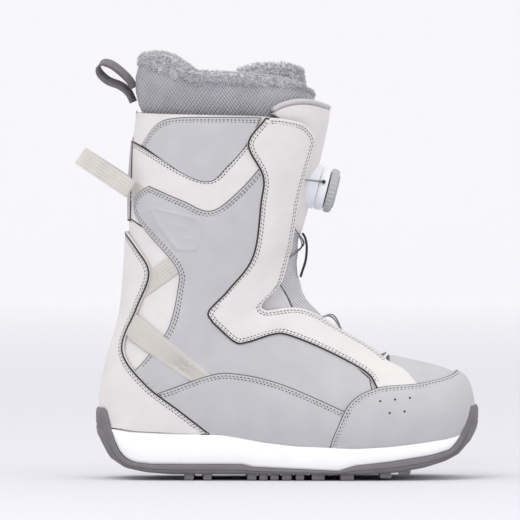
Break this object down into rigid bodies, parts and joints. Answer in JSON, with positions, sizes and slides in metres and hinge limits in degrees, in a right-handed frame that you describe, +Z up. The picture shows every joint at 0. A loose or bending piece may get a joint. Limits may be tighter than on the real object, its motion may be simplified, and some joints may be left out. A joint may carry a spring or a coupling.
{
  "type": "snowboard boot",
  "caption": "Laced snowboard boot with layered soft shell, reel closure on the tongue, webbing straps, fleece-topped liner and lugged cup sole.",
  "frame": {"origin": "middle of the sole's length on the ground, on the flat bottom of the middle lug", "axes": "+X to the toe, +Y to the medial side of the right foot, +Z up the leg"},
  "size_m": [0.3088, 0.1141, 0.3278],
  "materials": {
    "taupe_rubber": "matt moulded",
    "white_foam": "smooth moulded foam",
    "board": "matt",
    "grey_synthetic": "fine embossed grain",
    "beige_synthetic": "fine embossed grain",
    "black_backing": "woven",
    "grey_mesh": "open mesh",
    "pink_binding": "ribbed tape",
    "cream_webbing": "ribbed webbing",
    "grey_knit": "fine knit",
    "grey_fur": "short fleece",
    "black_nylon": "satin",
    "white_plastic": "satin",
    "reel_grip": "matt",
    "steel": "bright"
  },
  "bodies": {
    "boot": {"outsole": "taupe_rubber", "midsole": "white_foam", "lasting_board": "board", "vamp": "grey_synthetic", "toe_cap": "grey_synthetic", "heel_counter": "beige_synthetic", "back_stay": "grey_synthetic", "ankle_badge": "grey_synthetic", "lace": "steel", "liner_boot": "grey_knit", "liner_fur_collar": "grey_fur", "footbed": "board", "base_shell_lateral": "black_backing", "base_shell_medial": "black_backing", "rear_quarter_lateral": "beige_synthetic", "rear_quarter_medial": "beige_synthetic", "collar_panel_lateral": "grey_synthetic", "collar_panel_medial": "grey_synthetic", "ankle_quarter_lateral": "grey_synthetic", "ankle_quarter_medial": "grey_synthetic", "side_panel_lateral": "grey_synthetic", "side_panel_medial": "grey_synthetic", "eyestay_lateral": "beige_synthetic", "eyestay_medial": "beige_synthetic", "arch_webbing_lateral": "cream_webbing", "arch_webbing_medial": "cream_webbing", "ankle_webbing_lateral": "cream_webbing", "ankle_webbing_medial": "cream_webbing", "cuff_webbing_lateral": "cream_webbing", "cuff_webbing_medial": "cream_webbing", "gusset_lateral": "grey_mesh", "gusset_medial": "grey_mesh", "upper_guide_lateral": "black_nylon", "upper_guide_medial": "black_nylon", "ankle_guide_lateral": "black_nylon", "ankle_guide_medial": "black_nylon", "instep_guide_lateral": "black_nylon", "instep_guide_medial": "black_nylon", "front_guide_lateral": "black_nylon", "front_guide_medial": "black_nylon"},
    "shell_tongue": {"tongue_shield": "beige_synthetic", "tongue_lower": "grey_mesh", "tongue_binding": "pink_binding", "tongue_loop": "black_nylon", "reel_base": "white_plastic", "reel_housing": "white_plastic", "reel_axle": "steel"},
    "reel_slider": {"reel_bushing": "black_nylon"},
    "reel_knob_body": {"reel_knob": "reel_grip", "reel_cap": "reel_grip", "reel_pawl_disc": "black_nylon"},
    "reel_spool_body": {"reel_spool": "black_nylon"},
    "inner_tongue": {"liner_tongue": "grey_knit", "liner_tongue_fur": "grey_fur"},
    "pull_strap": {"rear_pull_strap": "cream_webbing"},
    "liner_loop": {"liner_pull_loop": "cream_webbing"}
  },
  "joints": [
    {"name": "shell_tongue_open", "type": "hinge", "parent": "boot", "child": "shell_tongue", "pos_m": [0.062, 0, 0.092], "axis": [0, 1, 0], "range_deg": [0, 20], "deforming": ["lace", "gusset_lateral", "gusset_medial"]},
    {"name": "inner_tongue_open", "type": "hinge", "parent": "boot", "child": "inner_tongue", "pos_m": [0.062, 0, 0.092], "axis": [0, 1, 0], "range_deg": [0, 20]},
    {"name": "reel_pull", "type": "slide", "parent": "shell_tongue", "child": "reel_slider", "axis": [0.969, 0, -0.247], "range_m": [0, 0.0022]},
    {"name": "reel_turn", "type": "hinge", "parent": "reel_slider", "child": "reel_knob_body", "pos_m": [0.0213, 0.0009, 0.2232], "axis": [0.969, 0, -0.247], "continuous": true},
    {"name": "spool_turn", "type": "hinge", "parent": "shell_tongue", "child": "reel_spool_body", "pos_m": [0.0213, 0.0009, 0.2232], "axis": [0.969, 0, -0.247], "continuous": true},
    {"name": "pull_strap_swing", "type": "hinge", "parent": "boot", "child": "pull_strap", "pos_m": [-0.119, 0, 0.221], "axis": [0, 1, 0], "range_deg": [-20, 25], "stiffness_Nm_per_rad": 0.05},
    {"name": "liner_loop_swing", "type": "hinge", "parent": "boot", "child": "liner_loop", "pos_m": [-0.1172, 0, 0.2935], "axis": [0, 1, 0], "range_deg": [-12, 12], "stiffness_Nm_per_rad": 0.05}
  ],
  "couplings": [
    {"joint": "inner_tongue_open", "follows": "shell_tongue_open", "ratio": 1}
  ]
}
